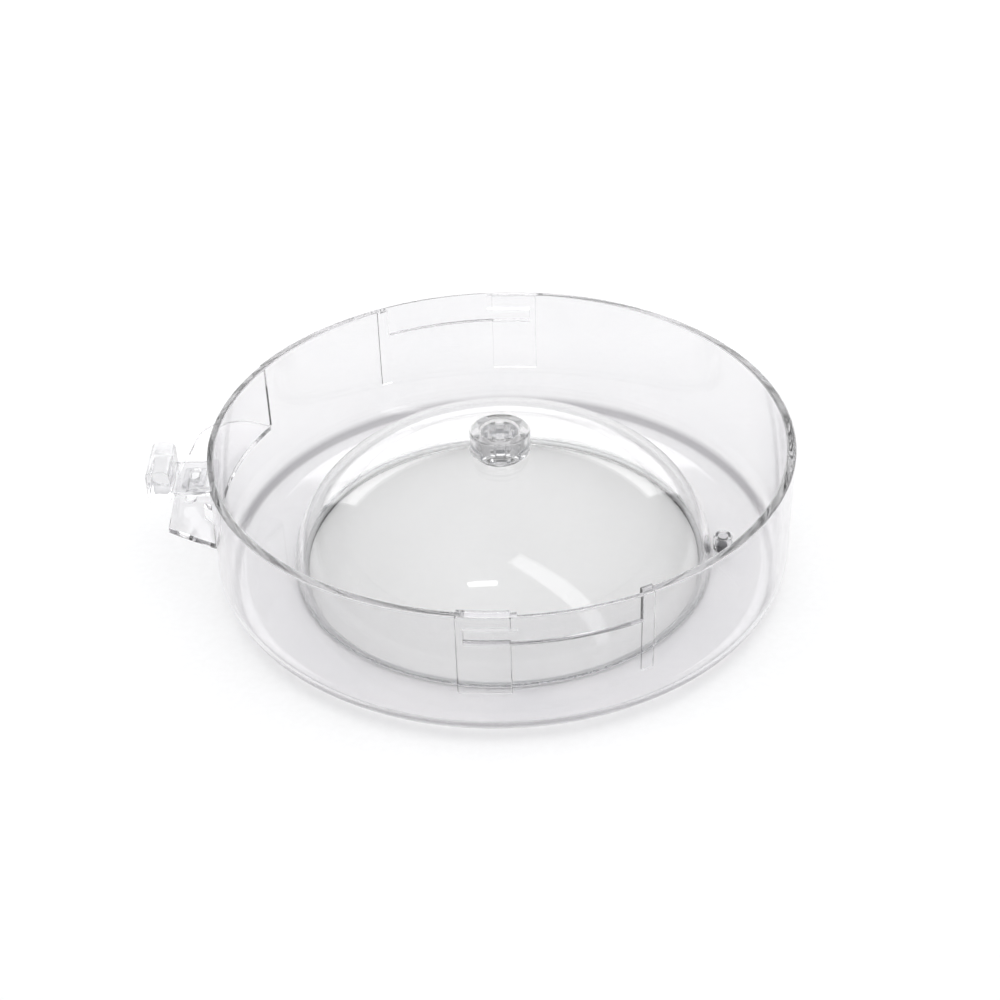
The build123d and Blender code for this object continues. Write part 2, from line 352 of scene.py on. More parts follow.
def block_outline(near, far, low, high, rounding=0.0, steps=6):
    """A rectangle between two corners, with all four rounded alike."""
    corners = ((near, low), (far, low), (far, high), (near, high))
    if rounding == 0:
        return corners
    return rounded_outline([(x, y, rounding) for x, y in corners], steps)


def post_section(radius, low, high, low_rounding, high_rounding):
    """The half section of a round post."""
    corners = [(0, low, 0), (radius, low, low_rounding), (radius, high, high_rounding), (0, high, 0)]
    return rounded_outline(corners)


def polar(radius, angle):
    return Vector((radius * cos(radians(angle)), radius * sin(radians(angle))))


def slot_outline(centre, width, length, steps=12):
    """A slot along Y with round ends."""
    half = width / 2
    ends = []
    for side, start in ((1, 0), (-1, 180)):
        middle = Vector((centre[0], centre[1] + side * (length / 2 - half)))
        ends.extend(middle + polar(half, start + 180 * step / steps) for step in range(steps + 1))
    return ends


def half_ellipse(radius, rise, base, start, end, steps):
    """Points on the upright ellipse r = radius cos t, z = base + rise sin t, from start to end degrees."""
    turns = [radians(start + (end - start) * part / steps) for part in range(steps + 1)]
    return [Vector((radius * cos(turn), base + rise * sin(turn))) for turn in turns]


# --- Geometry Nodes ---


class Growth:
    """A Geometry Nodes tree with named inputs, ending in Realize Instances and Set Material."""

    def __init__(self, name, inputs):
        self.tree = bpy.data.node_groups.new(name, "GeometryNodeTree")
        face = self.tree.interface
        face.new_socket("Geometry", in_out="INPUT", socket_type="NodeSocketGeometry")
        for label, kind, value in inputs:
            socket = face.new_socket(label, in_out="INPUT", socket_type=kind)
            if value is not None:
                socket.default_value = value
        face.new_socket("Material", in_out="INPUT", socket_type="NodeSocketMaterial")
        face.new_socket("Geometry", in_out="OUTPUT", socket_type="NodeSocketGeometry")
        self.entry = self.tree.nodes.new("NodeGroupInput")

    def given(self, label):
        return self.entry.outputs[label]

    def node(self, kind, settings=None, sockets=None, output=0):
        made = self.tree.nodes.new(kind)
        for name, value in (settings or {}).items():
            setattr(made, name, value)
        for name, value in (sockets or {}).items():
            if isinstance(value, bpy.types.NodeSocket):
                self.tree.links.new(value, made.inputs[name])
            else:
                made.inputs[name].default_value = value
        return made.outputs[output]

    def end(self, geometry):
        real = self.node("GeometryNodeRealizeInstances", None, {0: geometry})
        sockets = {"Geometry": real, "Material": self.given("Material")}
        painted = self.node("GeometryNodeSetMaterial", None, sockets)
        out = self.tree.nodes.new("NodeGroupOutput")
        self.tree.links.new(painted, out.inputs[0])
        return self.tree


def lathe_tree():
    """Turns a half section, a closed loop of edges in the XY plane, about the Z axis."""
    name = "turned_section"
    if name in bpy.data.node_groups:
        return bpy.data.node_groups[name]
    growth = Growth(name, [("Segments", "NodeSocketInt", 360), ("Spindle", "NodeSocketFloat", 1e-6)])
    section = growth.node("GeometryNodeMeshToCurve", None, {0: growth.given("Geometry")})
    sockets = {"Resolution": growth.given("Segments"), "Radius": growth.given("Spindle")}
    circle = growth.node("GeometryNodeCurvePrimitiveCircle", None, sockets)
    swept = growth.node("GeometryNodeCurveToMesh", None, {"Curve": circle, "Profile Curve": section})
    closed = growth.node("GeometryNodeMergeByDistance", None, {"Geometry": swept, "Distance": 4e-6})
    return growth.end(closed)


def round_tree():
    """Repeats a piece at even turns about the Z axis."""
    name = "repeated_round"
    if name in bpy.data.node_groups:
        return bpy.data.node_groups[name]
    inputs = [("Count", "NodeSocketInt", 4), ("First Turn", "NodeSocketFloat", 0.0)]
    growth = Growth(name, inputs)
    stations = growth.node("GeometryNodePoints", None, {"Count": growth.given("Count")})
    number = growth.node("GeometryNodeInputIndex")
    share = growth.node("ShaderNodeMath", {"operation": "DIVIDE"}, {0: number, 1: growth.given("Count")})
    sockets = {0: share, 1: 2 * pi, 2: growth.given("First Turn")}
    turn = growth.node("ShaderNodeMath", {"operation": "MULTIPLY_ADD"}, sockets)
    rotation = growth.node("ShaderNodeCombineXYZ", None, {"Z": turn})
    sockets = {"Points": stations, "Instance": growth.given("Geometry"), "Rotation": rotation}
    return growth.end(growth.node("GeometryNodeInstanceOnPoints", None, sockets))


def grown(piece, tree, material=None, **inputs):
    """The piece with a Geometry Nodes tree applied to its mesh."""
    modifier = piece.modifiers.new(tree.name, "NODES")
    modifier.node_group = tree
    for item in tree.interface.items_tree:
        key = item.name.replace(" ", "_").lower()
        if item.in_out == "INPUT" and key in inputs:
            modifier[item.identifier] = inputs[key]
    if material is not None:
        modifier[tree.interface.items_tree["Material"].identifier] = material
    return applied(piece)


def applied(piece):
    """The piece with its modifiers made real and removed."""
    bpy.context.view_layer.update()
    whole = bpy.data.meshes.new_from_object(piece.evaluated_get(bpy.context.evaluated_depsgraph_get()))
    piece.modifiers.clear()
    old = piece.data
    piece.data = whole
    bpy.data.meshes.remove(old)
    whole.name = piece.name
    return piece


# --- Solids ---


def new_piece(name, mesh):
    piece = bpy.data.objects.new(name, mesh)
    bpy.context.scene.collection.objects.link(piece)
    return piece


def from_bmesh(name, bm):
    mesh = bpy.data.meshes.new(name)
    bm.to_mesh(mesh)
    bm.free()
    return new_piece(name, mesh)


def outward(piece):
    """Drops edges without a face and turns the faces of a closed mesh outwards."""
    bm = bmesh.new()
    bm.from_mesh(piece.data)
    bmesh.ops.delete(bm, geom=[edge for edge in bm.edges if not edge.link_faces], context="EDGES")
    if bm.calc_volume(signed=True) < 0:
        bmesh.ops.reverse_faces(bm, faces=bm.faces)
    bm.to_mesh(piece.data)
    bm.free()
    return piece


def turned(name, section, segments=360, centre=(0.0, 0.0)):
    """A solid of revolution about an upright axis, from a closed half section of (radius, height) points.

    The sweep hangs a section's Y downwards, so heights go in negative.
    """
    mesh = bpy.data.meshes.new(name)
    count = len(section)
    edges = [(index, (index + 1) % count) for index in range(count)]
    mesh.from_pydata([(point[0], -point[1], 0) for point in section], edges, [])
    piece = grown(new_piece(name, mesh), lathe_tree(), segments=segments)
    piece.data.transform(Matrix.Translation((centre[0], centre[1], 0)))
    return outward(piece)


def bridge(bm, first, second):
    """Faces between two closed rings of vertices."""
    count = len(first)
    for index in range(count):
        after = (index + 1) % count
        bm.faces.new((first[index], first[after], second[after], second[index]))


def ring_sector(name, section, start, end, steps=24, ease=0.0):
    """A closed section of (radius, height) points swept about the Z axis between two angles, its end
    faces eased."""
    bm = bmesh.new()
    rings = []
    for step in range(steps + 1):
        angle = radians(start + (end - start) * step / steps)
        rings.append([bm.verts.new((r * cos(angle), r * sin(angle), z)) for r, z in section])
    for first, second in zip(rings, rings[1:]):
        bridge(bm, first, second)
    ends = [bm.faces.new(rings[0]), bm.faces.new(rings[-1])]
    bmesh.ops.recalc_face_normals(bm, faces=bm.faces)
    if ease:
        edges = [edge for face in ends for edge in face.edges]
        bmesh.ops.bevel(bm, geom=edges, offset=ease, segments=2, profile=0.5, affect="EDGES")
    return outward(from_bmesh(name, bm))


def pocket_solid(name, inner, outer, ledge, roof, top, angles):
    """The hollow of a bayonet pocket: a roofed lock that opens sideways into an open entry."""
    lock_start, entry_start, entry_end = angles
    bm = bmesh.new()

    def ring(angle, heights):
        inwards = [bm.verts.new((*polar(inner, angle), height)) for height in heights]
        outwards = [bm.verts.new((*polar(outer, angle), height)) for height in heights]
        return outwards + inwards[::-1]

    lock_steps, entry_steps = 10, 24
    span = entry_start - lock_start
    lock = [ring(lock_start + span * step / lock_steps, (ledge, roof)) for step in range(lock_steps)]
    span = entry_end - entry_start
    turns = [entry_start + span * step / entry_steps for step in range(entry_steps + 1)]
    entry = [ring(angle, (ledge, roof, top)) for angle in turns]
    mouth = entry[0]
    lock.append([mouth[0], mouth[1], mouth[4], mouth[5]])
    for rings in (lock, entry):
        for first, second in zip(rings, rings[1:]):
            bridge(bm, first, second)
    bm.faces.new(lock[0])
    bm.faces.new(entry[-1])
    bm.faces.new(mouth[1:5])
    bmesh.ops.recalc_face_normals(bm, faces=bm.faces)
    return outward(from_bmesh(name, bm))


def plate(name, outline, low, high, ease=0.0, ease_steps=3):
    """An upright prism on a closed XY outline, with its top and bottom edges eased."""
    bm = bmesh.new()
    bottom = [bm.verts.new((x, y, low)) for x, y in outline]
    top = [bm.verts.new((x, y, high)) for x, y in outline]
    bm.faces.new(bottom)
    bm.faces.new(top)
    bridge(bm, bottom, top)
    bmesh.ops.recalc_face_normals(bm, faces=bm.faces)
    if ease:
        edges = [edge for edge in bm.edges if abs(edge.verts[0].co.z - edge.verts[1].co.z) < 1e-9]
        bmesh.ops.bevel(bm, geom=edges, offset=ease, segments=ease_steps, profile=0.5, affect="EDGES")
    return outward(from_bmesh(name, bm))


def joined(name, pieces):
    """One object from several that don't overlap."""
    bm = bmesh.new()
    for piece in pieces:
        bm.from_mesh(piece.data)
        bpy.data.meshes.remove(piece.data)
    return from_bmesh(name, bm)


def combined(piece, other, operation):
    """The piece with another solid added to it or cut from it."""
    modifier = piece.modifiers.new(operation, "BOOLEAN")
    modifier.operation = operation
    modifier.solver = "EXACT"
    modifier.object = other
    applied(piece)
    bpy.data.meshes.remove(other.data)
    return piece


def shaded(piece):
    """Smooth faces, with edges kept sharp where the surface turns."""
    bm = bmesh.new()
    bm.from_mesh(piece.data)
    bmesh.ops.remove_doubles(bm, verts=bm.verts, dist=2e-6)
    bmesh.ops.dissolve_degenerate(bm, edges=bm.edges, dist=1e-7)
    bmesh.ops.delete(bm, geom=[edge for edge in bm.edges if not edge.link_faces], context="EDGES")
    for face in bm.faces:
        face.smooth = True
    bm.to_mesh(piece.data)
    bm.free()
    piece.data.set_sharp_from_angle(angle=SHARP_ANGLE)
    return piece


def finished(piece, node, material):
    """Gives a piece its material and puts it on the frame in place of its CAD node."""
    piece.data.materials.clear()
    piece.data.materials.append(material)
    shaded(piece)
    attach(piece, BODY_OF[node])
    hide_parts(node)
    return piece


# --- Sizes and colours ---


def length(name, description, default):
    return FloatProperty(name=name, description=description, default=default, unit="LENGTH", precision=5)


def turn(name, description, default):
    return FloatProperty(name=name, description=description, default=radians(default), subtype="ANGLE")


def paint(name, description, default):
    return FloatVectorProperty(
        name=name, description=description, default=default, subtype="COLOR", min=0, max=1
    )


def level(name, description, default):
    return FloatProperty(name=name, description=description, default=default, min=0)


def power(name, description, default):
    return FloatProperty(name=name, description=description, default=default, unit="POWER")


def share(name, description, default):
    return FloatProperty(name=name, description=description, default=default, subtype="FACTOR", min=0, max=1)


class TrayShape(bpy.types.PropertyGroup):
    """Sizes of the tray moulding."""

    segments: IntProperty(name="Segments", description="Steps round the tray", default=360, min=24)
    wall: length("Wall", "Thickness of the wall", 2.8 * MM)
    floor: length("Floor", "Thickness of the floor", 2.0 * MM)
    outer_corner: length("Outer Corner", "Radius of the outer corner below", 10.0 * MM)
    inner_corner: length("Inner Corner", "Radius of the inner corner below", 7.2 * MM)
    rim_edge: length("Rim Edge", "Rounding of the rim", 0.6 * MM)
    seat_radius: length("Seat Radius", "Radius of the dome's seat", 66.5 * MM)
    seat_opening: length("Seat Opening", "Radius of the opening under the dome", 62.5 * MM)
    seat_floor: length("Seat Floor", "Height of the seat's floor", 0.9 * MM)
    pocket_depth: length("Pocket Depth", "Depth of the bayonet pockets in the wall", 1.7 * MM)
    ledge: length("Ledge", "Height of the pockets' ledge", 35.2 * MM)
    lock_roof: length("Lock Roof", "Height of the roof of the lock", 40.0 * MM)
    rib_foot: length("Rib Foot", "Height where pads and ribs fade out", 17.0 * MM)
    rib_stand: length("Rib Stand", "How far pads and ribs stand off the wall", 0.6 * MM)
    ear_top: length("Ear Top", "Height of the ear's top face", 22.5 * MM)
    ear_thickness: length("Ear Thickness", "Thickness of the ear", 2.0 * MM)
    relief: length("Relief", "How much thinner the wall is above the ear", 0.8 * MM)
    stud_radius: length("Stud Radius", "Radius of the drain stud", 3.0 * MM)
    stud_top: length("Stud Top", "Height of the drain stud", 6.6 * MM)
    drain_radius: length("Drain Radius", "Radius of the drain hole", 1.65 * MM)
    plug_seat_radius: length("Plug Seat Radius", "Radius of the seat for the plug's head", 2.5 * MM)
    plug_seat_depth: length("Plug Seat Depth", "Depth of the seat for the plug's head", 0.9 * MM)


class DomeShape(bpy.types.PropertyGroup):
    """Sizes of the dome and its vent."""

    spring: length("Spring Height", "Height where the dome's curve starts", 1.9 * MM)
    rise: length("Rise", "Rise of the dome over its spring height", 38.6 * MM)
    shell: length("Shell", "Thickness of the dome", 2.2 * MM)
    hub_radius: length("Hub Radius", "Radius of the vent hub", 9.3 * MM)
    hub_bore: length("Hub Bore", "Radius of the hub's bore", 6.2 * MM)
    crown: length("Crown", "Height of the crown inside the hub", 40.6 * MM)
    stem_bore: length("Stem Bore", "Radius of the bore for the knob's stem", 2.1 * MM)
    stem: length("Stem", "Radius of the knob's stem", 2.03 * MM)
    knob_radius: length("Knob Radius", "Radius of the knob", 5.9 * MM)
    knob_foot: length("Knob Foot", "Height of the knob's underside", 40.9 * MM)
    window_inner: length("Window Inner", "Inner radius of the vent windows", 3.0 * MM)
    window_outer: length("Window Outer", "Outer radius of the vent windows", 5.5 * MM)
    window_half: turn("Window Half Angle", "Half the angle of a vent window", 15.0)
    windows: IntProperty(name="Windows", description="Number of vent windows", default=4, min=1)
    key_mouth: length("Key Mouth", "Width of the key socket at its mouth", 7.4 * MM)
    key_floor: length("Key Floor", "Width of the key socket at its floor", 4.8 * MM)
    key_depth: length("Key Depth", "Depth of the key socket", 2.6 * MM)


class PlasticFinish(bpy.types.PropertyGroup):
    """Colours and gloss of the mouldings."""

    tray_tint: paint("Tray Tint", "Colour of the tray", (0.905, 0.90, 0.908))
    tray_deep: paint("Tray Deep Tint", "Colour of the tray where it looks thicker", (0.885, 0.882, 0.893))
    tray_edge: paint("Tray Edge Tint", "Colour of the tray seen edge on", (0.72, 0.71, 0.73))
    # Painted shade on the tray's lower outer corner, not a colour of the plastic.
    tray_corner_painted_shade: paint("Tray Corner Painted Shade", "Colour of the lower outer corner", (0.15, 0.14, 0.16))
    dome_tint: paint("Dome Tint", "Colour of the dome", (0.835, 0.835, 0.835))
    dome_deep: paint("Dome Deep Tint", "Colour of the dome where it looks thicker", (0.815, 0.815, 0.815))
    vent_tint: paint("Vent Tint", "Colour of the vent parts", (0.86, 0.86, 0.87))
    latch_tint: paint("Latch Tint", "Colour of the latch", (0.84, 0.84, 0.85))
    latch_edge: paint("Latch Edge Tint", "Colour of the latch seen edge on", (0.60, 0.60, 0.61))
    rubber_tint: paint("Rubber Tint", "Colour of the drain plug", (0.16, 0.16, 0.17))
    nylon_tint: paint("Nylon Tint", "Colour of the vent clip", (0.74, 0.74, 0.72))
    seal_tint: paint("Seal Tint", "Colour of the foot seal", (0.86, 0.87, 0.89))
    gloss: share("Gloss", "Roughness of the polished plastic", 0.02)
    marks: share("Marks", "Strength of the handling marks", 0.6)


class StudioSetup(bpy.types.PropertyGroup):
    """Camera and lights."""

    distance: length("Distance", "Camera's distance from the base's centre", 6.5 * RIM_RADIUS)
    elevation: turn("Elevation", "Camera's elevation", 36.75)
    roll: turn("Roll", "Camera's roll", -1.755)
    lens: FloatProperty(name="Lens", description="Focal length in millimetres", default=65.6, min=1)
    shift_x: FloatProperty(name="Shift X", description="Camera shift sideways", default=-0.0034)
    shift_y: FloatProperty(name="Shift Y", description="Camera shift upwards", default=0.052)
    floor_tint: paint("Floor Tint", "Colour of the floor", (0.975, 0.975, 0.975))
    overhead: level("Overhead", "Strength of the light from above", 1.08)
    horizon: level("Horizon", "Strength of the light from the sides", 0.42)
    backdrop: power("Backdrop", "Power of the backdrop light", 12.0)
    strip: power("Strip", "Power of the tall strip light", 2.9)
    spark: power("Spark", "Power of the small overhead light", 0.33)


# --- Operators ---


class TRAY_OT_shell(bpy.types.Operator):
    """Build the tray moulding with its pockets, ear and drain stud"""

    bl_idname = "tray.shell"
    bl_label = "Tray Shell"

    def execute(self, context):
        size = context.scene.tray_shape
        finish = context.scene.plastic_finish
        inner = RIM_RADIUS - size.wall
        middle = RIM_RADIUS - size.wall / 2
        section = rounded_outline(
            [
                (size.seat_opening, 0, 0.2 * MM),
                (RIM_RADIUS, 0, size.outer_corner),
                (RIM_RADIUS, RIM_HEIGHT, size.rim_edge),
                (inner, RIM_HEIGHT, size.rim_edge),
                (inner, size.floor, size.inner_corner),
                (size.seat_radius, size.floor, 0.25 * MM),
                (size.seat_radius, size.seat_floor, 0.1 * MM),
                (size.seat_opening, size.seat_floor, 0.2 * MM),
            ],
            steps=12,
        )
        shell = turned("tray_moulding", section, size.segments)

        strap = [
            (middle, size.rib_foot),
            (middle, RIM_HEIGHT - 0.1 * MM),
            (inner - size.rib_stand, RIM_HEIGHT - 0.1 * MM),
            (inner - size.rib_stand, size.rib_foot),
        ]
        pad = ring_sector("pad", strap, *PAD_TURNS, steps=10, ease=0.35 * MM)
        stop = ring_sector("stop_rib", strap, *STOP_RIB_TURNS, steps=3, ease=0.2 * MM)
        ribs = grown(joined("ribs", [pad, stop]), round_tree(), count=2)
        combined(shell, ribs, "UNION")

        pocket = pocket_solid(
            "pocket",
            inner - 2 * size.rib_stand,
            inner + size.pocket_depth,
            size.ledge,
            size.lock_roof,
            RIM_HEIGHT + CUTTER_REACH,
            POCKET_TURNS,
        )
        combined(shell, grown(pocket, round_tree(), count=2), "DIFFERENCE")

        low = size.ear_top - size.ear_thickness
        ear = plate("ear", self.ear_outline(middle), low, size.ear_top, ease=0.25 * MM)
        combined(shell, ear, "UNION")
        window = [Vector(point) * MM for point in EAR_WINDOW]
        slot = slot_outline((SLOT_CENTRE[0] * MM, SLOT_CENTRE[1] * MM), SLOT_WIDTH * MM, SLOT_LENGTH * MM)
        ends = (low - CUTTER_REACH, size.ear_top + CUTTER_REACH)
        cuts = [plate("cut", outline, *ends) for outline in (window, slot)]
        combined(shell, joined("ear_cuts", cuts), "DIFFERENCE")

        thinned = (RIM_RADIUS - size.relief, RIM_RADIUS + size.relief)
        relief_section = block_outline(*thinned, size.ear_top, RIM_HEIGHT + CUTTER_REACH)
        combined(shell, ring_sector("relief", relief_section, EAR_TURN, RELIEF_TURN, 48), "DIFFERENCE")

        pip_top = RIM_HEIGHT - 0.05 * MM
        pip_place = polar(RIM_RADIUS - 1.3 * MM, PIP_TURN)
        pip_section = post_section(1.1 * MM, pip_top - 3 * MM, pip_top, 0.2 * MM, 0.3 * MM)
        stud_section = post_section(size.stud_radius, size.floor / 2, size.stud_top, 0, 0.35 * MM)
        extras = [
            turned("pip", pip_section, 32, pip_place),
            turned("stud", stud_section, 64, (DRAIN_X, DRAIN_Y)),
        ]
        combined(shell, joined("extras", extras), "UNION")
        bore_section = [
            (0, -CUTTER_REACH),
            (size.plug_seat_radius, -CUTTER_REACH),
            (size.plug_seat_radius, size.plug_seat_depth),
            (size.drain_radius, size.plug_seat_depth),
            (size.drain_radius, size.stud_top + CUTTER_REACH),
            (0, size.stud_top + CUTTER_REACH),
        ]
        combined(shell, turned("bore", bore_section, 64, (DRAIN_X, DRAIN_Y)), "DIFFERENCE")
        material = clear_plastic(
            "clear_tray_plastic",
            finish.tray_tint,
            finish.tray_deep,
            finish.gloss,
            finish.marks,
            finish.tray_edge,
            finish.tray_corner_painted_shade,
        )
        finished(shell, "tray_shell", material)
        return {"FINISHED"}

    def ear_outline(self, middle):
        """The ear's outline: an outer edge with a bend, a curved front edge and a straight back edge."""
        root = polar(middle, EAR_TURN)
        front = arc_through(*[(x * MM, y * MM) for x, y in EAR_FRONT], 10)
        corners = [(point.x, point.y, 0) for point in front]
        corners.append((EAR_MIDDLE[0] * MM, EAR_MIDDLE[1] * MM, 0))
        corners.append((EAR_BACK[0] * MM, EAR_BACK[1] * MM, EAR_BACK_ROUNDING * MM))
        corners.append((root.x, root.y, 0))
        start = degrees(atan2(root.y, root.x))
        end = degrees(atan2(EAR_FRONT[0][1], EAR_FRONT[0][0])) + 360
        steps = 40
        for step in range(1, steps):
            point = polar(middle, start + (end - start) * step / steps)
            corners.append((point.x, point.y, 0))
        return rounded_outline(corners, steps=8)


class TRAY_OT_dome(bpy.types.Operator):
    """Build the dome with the hub on its crown"""

    bl_idname = "tray.dome"
    bl_label = "Centre Dome"

    def execute(self, context):
        size = context.scene.dome_shape
        finish = context.scene.plastic_finish
        radius = DOME_HIGH[0]
        foot = DOME_LOW[2]
        hub_top = DOME_HIGH[2]
        inner_radius = radius - size.shell
        inner_rise = size.rise - size.shell
        hub_turn = degrees(acos((size.hub_radius + 0.5 * MM) / radius))
        bore_turn = degrees(acos(size.stem_bore / inner_radius))
        outer = half_ellipse(radius, size.rise, size.spring, 0, hub_turn, 72)
        inner = half_ellipse(inner_radius, inner_rise, size.spring, bore_turn, 0, 72)
        hub_foot = outer[-1].y
        section = rounded_outline(
            [(point.x, point.y, 0) for point in outer]
            + [
                (size.hub_radius, hub_foot + 0.05 * MM, 0.3 * MM),
                (size.hub_radius, hub_top, 0.6 * MM),
                (size.hub_bore, hub_top, 0.3 * MM),
                (size.hub_bore, size.crown, 0.3 * MM),
                (size.stem_bore, size.crown, 0.15 * MM),
            ]
            + [(point.x, point.y, 0) for point in inner]
            + [(inner_radius, foot, 0.3 * MM), (radius, foot, 0.3 * MM)],
            steps=6,
        )
        dome = turned("dome_moulding", section, 360)
        half = degrees(size.window_half)
        below_crown = size.crown - 3.4 * MM
        reach = (size.window_inner, size.window_outer)
        window_section = block_outline(*reach, below_crown, size.crown + CUTTER_REACH)
        window = ring_sector("window", window_section, -half, half, 8)
        windows = grown(window, round_tree(), count=size.windows, first_turn=pi / size.windows)
        combined(dome, windows, "DIFFERENCE")
        material = clear_plastic(
            "clear_dome_plastic", finish.dome_tint, finish.dome_deep, finish.gloss, finish.marks
        )
        finished(dome, "centre_dome", material)
        return {"FINISHED"}


class TRAY_OT_seal(bpy.types.Operator):
    """Build the flat seal under the dome's foot"""

    bl_idname = "tray.seal"
    bl_label = "Foot Seal"

    def execute(self, context):
        finish = context.scene.plastic_finish
        inner = 63.0 * MM
        section = block_outline(inner, SEAL_HIGH[0], SEAL_LOW[2], SEAL_HIGH[2], 0.15 * MM)
        deep = dimmed(finish.seal_tint, 0.93)
        material = moulded_soft(
            "silicone_seal", finish.seal_tint, deep, 0.4, 1500, transmission=0.45, clearness=1.41
        )
        finished(turned("seal_ring", section, 256), "foot_seal", material)
        return {"FINISHED"}


class TRAY_OT_vent(bpy.types.Operator):
    """Build the vent: knob, shutter and clip"""

    bl_idname = "tray.vent"
    bl_label = "Rotary Vent"

    def execute(self, context):
        size = context.scene.dome_shape
        finish = context.scene.plastic_finish
        deep = dimmed(finish.vent_tint, 0.95)
        plastic = clear_plastic("clear_vent_plastic", finish.vent_tint, deep, 0.04, finish.marks)
        half = degrees(size.window_half)

        top = KNOB_HIGH[2]
        knob_section = rounded_outline(
            [
                (0, KNOB_LOW[2], 0),
                (size.stem, KNOB_LOW[2], 0.3 * MM),
                (size.stem, size.knob_foot, 0.2 * MM),
                (size.knob_radius, size.knob_foot, 0.3 * MM),
                (size.knob_radius, top, 0.4 * MM),
                (0, top, 0),
            ]
        )
        knob = turned("knob_moulding", knob_section, 96)
        notch_inner = size.key_mouth / 2 + 0.9 * MM
        ends = (size.knob_foot - CUTTER_REACH, top + CUTTER_REACH)
        notch = ring_sector("notch", block_outline(notch_inner, size.hub_bore, *ends), -half, half, 8)
        notches = grown(notch, round_tree(), count=size.windows)
        combined(knob, notches, "DIFFERENCE")
        combined(knob, self.key_socket(size, top), "DIFFERENCE")
        finished(knob, "vent_knob", plastic)

        edge = 0.15 * MM
        shutter_section = block_outline(size.stem, SHUTTER_HIGH[0], SHUTTER_LOW[2], SHUTTER_HIGH[2], edge)
        shutter = turned("shutter_disc", shutter_section, 96)
        ends = (SHUTTER_LOW[2] - CUTTER_REACH, SHUTTER_HIGH[2] + CUTTER_REACH)
        window_section = block_outline(size.window_inner, size.window_outer, *ends)
        window = ring_sector("window", window_section, -half, half, 8)
        combined(shutter, grown(window, round_tree(), count=size.windows), "DIFFERENCE")
        finished(shutter, "vent_shutter", plastic)

        clip_section = block_outline(size.stem, CLIP_HIGH[0], CLIP_LOW[2], CLIP_HIGH[2], edge)
        clip = turned("clip_washer", clip_section, 64)
        half_slit = 0.25 * MM
        slit_outline = block_outline(1.7 * MM, 3.1 * MM, -half_slit, half_slit)
        slit = plate("slit", slit_outline, CLIP_LOW[2] - CUTTER_REACH, CLIP_HIGH[2] + CUTTER_REACH)
        combined(clip, grown(slit, round_tree(), count=3), "DIFFERENCE")
        darker = dimmed(finish.nylon_tint, 0.9)
        nylon = moulded_soft("natural_nylon", finish.nylon_tint, darker, 0.45, 1800)
        finished(clip, "vent_clip", nylon)
        return {"FINISHED"}

    def key_socket(self, size, top):
        """The tapering square hole for the key."""
        bm = bmesh.new()
        above = 0.5 * MM
        rounding = 0.35 * MM
        slope = (size.key_mouth - size.key_floor) / 2 / size.key_depth
        rings = []
        for half, height in (
            (size.key_floor / 2, top - size.key_depth),
            (size.key_mouth / 2 + slope * above, top + above),
        ):
            signs = ((1, 1), (-1, 1), (-1, -1), (1, -1))
            corners = rounded_outline([(x * half, y * half, rounding) for x, y in signs], steps=4)
            rings.append([bm.verts.new((point.x, point.y, height)) for point in corners])
        bridge(bm, *rings)
        bm.faces.new(rings[0])
        bm.faces.new(rings[1])
        bmesh.ops.recalc_face_normals(bm, faces=bm.faces)
        return outward(from_bmesh("key_socket", bm))


class TRAY_OT_latch(bpy.types.Operator):
    """Build the slide latch on the ear: slide and retaining clip"""

    bl_idname = "tray.latch"
    bl_label = "Slide Latch"

    def execute(self, context):
        finish = context.scene.plastic_finish
        deep = dimmed(finish.latch_tint, 0.96)
        plastic = clear_plastic(
            "clear_latch_plastic", finish.latch_tint, deep, 0.08, finish.marks, finish.latch_edge
        )
        front, back = SLIDE_LOW[1], SLIDE_HIGH[1]
        outer, tooth_end = SLIDE_LOW[0], SLIDE_HIGH[0]
        bar_outer, bar_inner = outer + 3.8 * MM, tooth_end - 2.2 * MM
        tooth_back = front + 3.0 * MM
        tab_inner = outer + 7.6 * MM
        plate_low = 22.75 * MM
        plate_high = 24.25 * MM
        ease = 0.2 * MM
        outline = rounded_outline(
            [
                (bar_outer, front, 0),
                (tooth_end, front, 0.4 * MM),
                (tooth_end, tooth_back, 0.4 * MM),
                (bar_inner, tooth_back, 0.3 * MM),
                (bar_inner, back, 0.6 * MM),
                (bar_outer, back, 0),
            ],
            steps=4,
        )
        slide = plate("latch_slide_moulding", outline, plate_low, plate_high, ease=ease)
        bottom, top = 20.5 * MM, SLIDE_HIGH[2]
        tab_outline = block_outline(outer, tab_inner, bottom, top, 2.2 * MM, steps=8)
        tab = plate("tab", tab_outline, -back, -front, ease=0.35 * MM)
        tab.data.transform(Matrix.Rotation(radians(90), 4, "X"))
        combined(slide, tab, "UNION")
        foot_low = SLIDE_LOW[2]
        foot = plate("foot", self.foot_outline(), foot_low, plate_low + 0.5 * MM, ease=0.1 * MM)
        combined(slide, foot, "UNION")
        finished(slide, "latch_slide", plastic)

        (near, first, low), (far, last, high) = RETAINER_LOW, RETAINER_HIGH
        edge = block_outline(near, far, first, last, 1.0 * MM, steps=5)
        retainer = plate("latch_retainer", edge, low, high, ease=0.15 * MM)
        hole = plate("hole", self.foot_outline(), low - CUTTER_REACH, high + CUTTER_REACH)
        combined(retainer, hole, "DIFFERENCE")
        finished(retainer, "latch_clip", plastic)
        return {"FINISHED"}

    def foot_outline(self):
        """The rounded outline of the latch's foot."""
        middle = ((RETAINER_LOW[0] + RETAINER_HIGH[0]) / 2, (RETAINER_LOW[1] + RETAINER_HIGH[1]) / 2)
        return slot_outline(middle, 3.0 * MM, 6.0 * MM)


